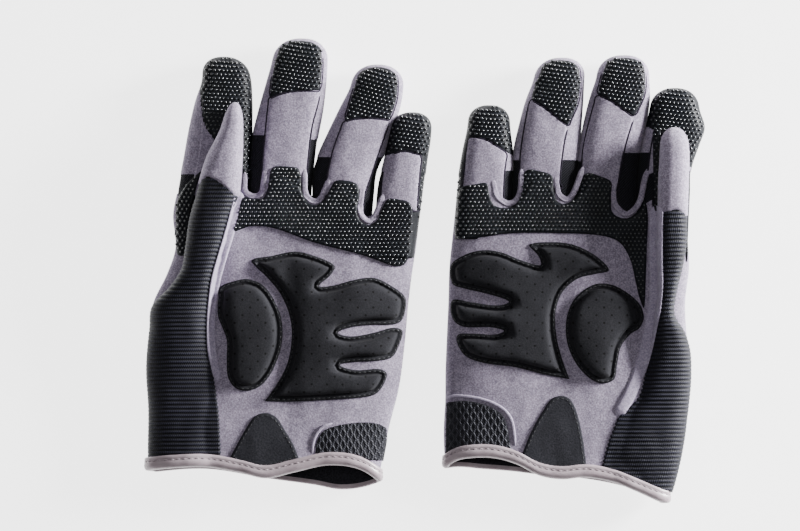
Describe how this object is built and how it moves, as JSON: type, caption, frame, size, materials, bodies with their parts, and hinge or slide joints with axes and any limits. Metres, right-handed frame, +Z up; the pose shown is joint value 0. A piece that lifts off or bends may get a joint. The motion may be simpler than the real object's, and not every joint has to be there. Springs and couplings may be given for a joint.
{
  "type": "pair of riding gloves",
  "caption": "Pair of short-cuff riding gloves lying palm up, with silicone grip tips, foam palm pads and a ribbed stretch side panel.",
  "frame": {"origin": "centre of the pair's bounding box, on the table it lies on", "axes": "+X across the pair from the left glove to the right glove, +Y to the fingertips, +Z up from the table, out of the palms"},
  "size_m": [0.2946, 0.2496, 0.036],
  "materials": {
    "suede": "matt synthetic suede, mid grey with a slight violet cast",
    "grip": "glossy black silicone dots on black knit",
    "ribbed": "matt navy-black ribbed stretch fabric",
    "fabric": "matt black fine-ribbed stretch fabric and hook-and-loop tape",
    "pad": "matt dark grey perforated foam-backed fabric",
    "mesh": "dark grey open air mesh",
    "binding": "satin warm grey folded binding tape"
  },
  "bodies": {
    "left_hand": {"left_palm_panel": "suede", "left_side_panel": "ribbed", "left_back_panel": "fabric", "left_grip_band": "grip", "left_palm_pad": "pad", "left_thenar_pad": "pad", "left_heel_patch": "suede", "left_mesh_insert": "mesh", "left_cuff_binding": "binding", "left_strap_loop_patch": "fabric"},
    "left_strap": {"left_wrist_strap": "fabric"},
    "left_index": {"left_index_front": "suede", "left_index_back": "fabric"},
    "left_index_tip": {"left_index_tip_grip": "grip", "left_index_tip_shell": "suede"},
    "left_middle": {"left_middle_front": "suede", "left_middle_back": "fabric"},
    "left_middle_tip": {"left_middle_tip_grip": "grip", "left_middle_tip_shell": "suede"},
    "left_ring": {"left_ring_front": "suede", "left_ring_back": "fabric"},
    "left_ring_tip": {"left_ring_tip_grip": "grip", "left_ring_tip_shell": "suede"},
    "left_little": {"left_little_front": "suede", "left_little_back": "fabric"},
    "left_little_tip": {"left_little_tip_grip": "grip", "left_little_tip_shell": "suede"},
    "left_thumb": {"left_thumb_ribbed_base": "ribbed", "left_thumb_suede_stall": "suede", "left_thumb_underside": "suede"},
    "right_hand": {"right_palm_panel": "suede", "right_side_panel": "ribbed", "right_back_panel": "fabric", "right_grip_band": "grip", "right_palm_pad": "pad", "right_thenar_pad": "pad", "right_heel_patch": "suede", "right_mesh_insert": "mesh", "right_cuff_binding": "binding", "right_strap_loop_patch": "fabric"},
    "right_strap": {"right_wrist_strap": "fabric"},
    "right_index": {"right_index_front": "suede", "right_index_back": "fabric"},
    "right_index_tip": {"right_index_tip_grip": "grip", "right_index_tip_shell": "suede"},
    "right_middle": {"right_middle_front": "suede", "right_middle_back": "fabric"},
    "right_middle_tip": {"right_middle_tip_grip": "grip", "right_middle_tip_shell": "suede"},
    "right_ring": {"right_ring_front": "suede", "right_ring_back": "fabric"},
    "right_ring_tip": {"right_ring_tip_grip": "grip", "right_ring_tip_shell": "suede"},
    "right_little": {"right_little_front": "suede", "right_little_back": "fabric"},
    "right_little_tip": {"right_little_tip_grip": "grip", "right_little_tip_shell": "suede"},
    "right_thumb": {"right_thumb_ribbed_base": "ribbed", "right_thumb_suede_stall": "suede", "right_thumb_underside": "suede"}
  },
  "joints": [
    {"name": "right_glove_apart", "type": "slide", "parent": "left_hand", "child": "right_hand", "axis": [1, 0, 0], "range_m": [0, 0.15]},
    {"name": "left_index_base_fold", "type": "hinge", "parent": "left_hand", "child": "left_index", "pos_m": [-0.11021, 0.05973, 0.0077], "axis": [0.9983, -0.0576, 0], "range_deg": [-20, 0]},
    {"name": "left_index_tip_fold", "type": "hinge", "parent": "left_index", "child": "left_index_tip", "pos_m": [-0.10817, 0.09517, 0.0077], "axis": [0.9983, -0.0576, 0], "range_deg": [0, 50]},
    {"name": "left_middle_base_fold", "type": "hinge", "parent": "left_hand", "child": "left_middle", "pos_m": [-0.07511, 0.06273, 0.0077], "axis": [0.9871, -0.1599, 0], "range_deg": [-15, 75]},
    {"name": "left_middle_tip_fold", "type": "hinge", "parent": "left_middle", "child": "left_middle_tip", "pos_m": [-0.06992, 0.09481, 0.0077], "axis": [0.9871, -0.1599, 0], "range_deg": [0, 60]},
    {"name": "left_ring_base_fold", "type": "hinge", "parent": "left_hand", "child": "left_ring", "pos_m": [-0.04091, 0.05573, 0.0077], "axis": [0.9603, -0.279, 0], "range_deg": [-15, 75]},
    {"name": "left_ring_tip_fold", "type": "hinge", "parent": "left_ring", "child": "left_ring_tip", "pos_m": [-0.03338, 0.08165, 0.0077], "axis": [0.9603, -0.279, 0], "range_deg": [0, 60]},
    {"name": "left_little_base_fold", "type": "hinge", "parent": "left_hand", "child": "left_little", "pos_m": [-0.01271, 0.04373, 0.0077], "axis": [0.9863, -0.165, 0], "range_deg": [-15, 75]},
    {"name": "left_little_tip_fold", "type": "hinge", "parent": "left_little", "child": "left_little_tip", "pos_m": [-0.00946, 0.06316, 0.0077], "axis": [0.9863, -0.165, 0], "range_deg": [0, 60]},
    {"name": "left_thumb_lift", "type": "hinge", "parent": "left_hand", "child": "left_thumb", "pos_m": [-0.11901, -0.00827, 0.017], "axis": [0.9799, -0.1994, 0], "range_deg": [0, 45]},
    {"name": "left_strap_peel", "type": "hinge", "parent": "left_hand", "child": "left_strap", "pos_m": [-0.03351, -0.07827, 0.0006], "axis": [0, -1, 0], "range_deg": [0, 150]},
    {"name": "right_index_base_fold", "type": "hinge", "parent": "right_hand", "child": "right_index", "pos_m": [0.13129, 0.05373, 0.0077], "axis": [0.9925, -0.1219, 0], "range_deg": [-20, 0]},
    {"name": "right_index_tip_fold", "type": "hinge", "parent": "right_index", "child": "right_index_tip", "pos_m": [0.13476, 0.08201, 0.0077], "axis": [0.9925, -0.1219, 0], "range_deg": [0, 50]},
    {"name": "right_middle_base_fold", "type": "hinge", "parent": "right_hand", "child": "right_middle", "pos_m": [0.09969, 0.05873, 0.0077], "axis": [0.9885, -0.1513, 0], "range_deg": [-15, 75]},
    {"name": "right_middle_tip_fold", "type": "hinge", "parent": "right_middle", "child": "right_middle_tip", "pos_m": [0.10422, 0.08838, 0.0077], "axis": [0.9885, -0.1513, 0], "range_deg": [0, 60]},
    {"name": "right_ring_base_fold", "type": "hinge", "parent": "right_hand", "child": "right_ring", "pos_m": [0.06589, 0.06073, 0.0077], "axis": [0.9888, -0.1495, 0], "range_deg": [-15, 75]},
    {"name": "right_ring_tip_fold", "type": "hinge", "parent": "right_ring", "child": "right_ring_tip", "pos_m": [0.06962, 0.08544, 0.0077], "axis": [0.9888, -0.1495, 0], "range_deg": [0, 60]},
    {"name": "right_little_base_fold", "type": "hinge", "parent": "right_hand", "child": "right_little", "pos_m": [0.03379, 0.05173, 0.0077], "axis": [0.9968, -0.0802, 0], "range_deg": [-15, 75]},
    {"name": "right_little_tip_fold", "type": "hinge", "parent": "right_little", "child": "right_little_tip", "pos_m": [0.03515, 0.06867, 0.0077], "axis": [0.9968, -0.0802, 0], "range_deg": [0, 60]},
    {"name": "right_thumb_lift", "type": "hinge", "parent": "right_hand", "child": "right_thumb", "pos_m": [0.13269, -0.01427, 0.017], "axis": [1, -0.007, 0], "range_deg": [0, 45]},
    {"name": "right_strap_peel", "type": "hinge", "parent": "right_hand", "child": "right_strap", "pos_m": [0.02649, -0.07627, 0.0006], "axis": [0, 1, 0], "range_deg": [0, 150]}
  ]
}
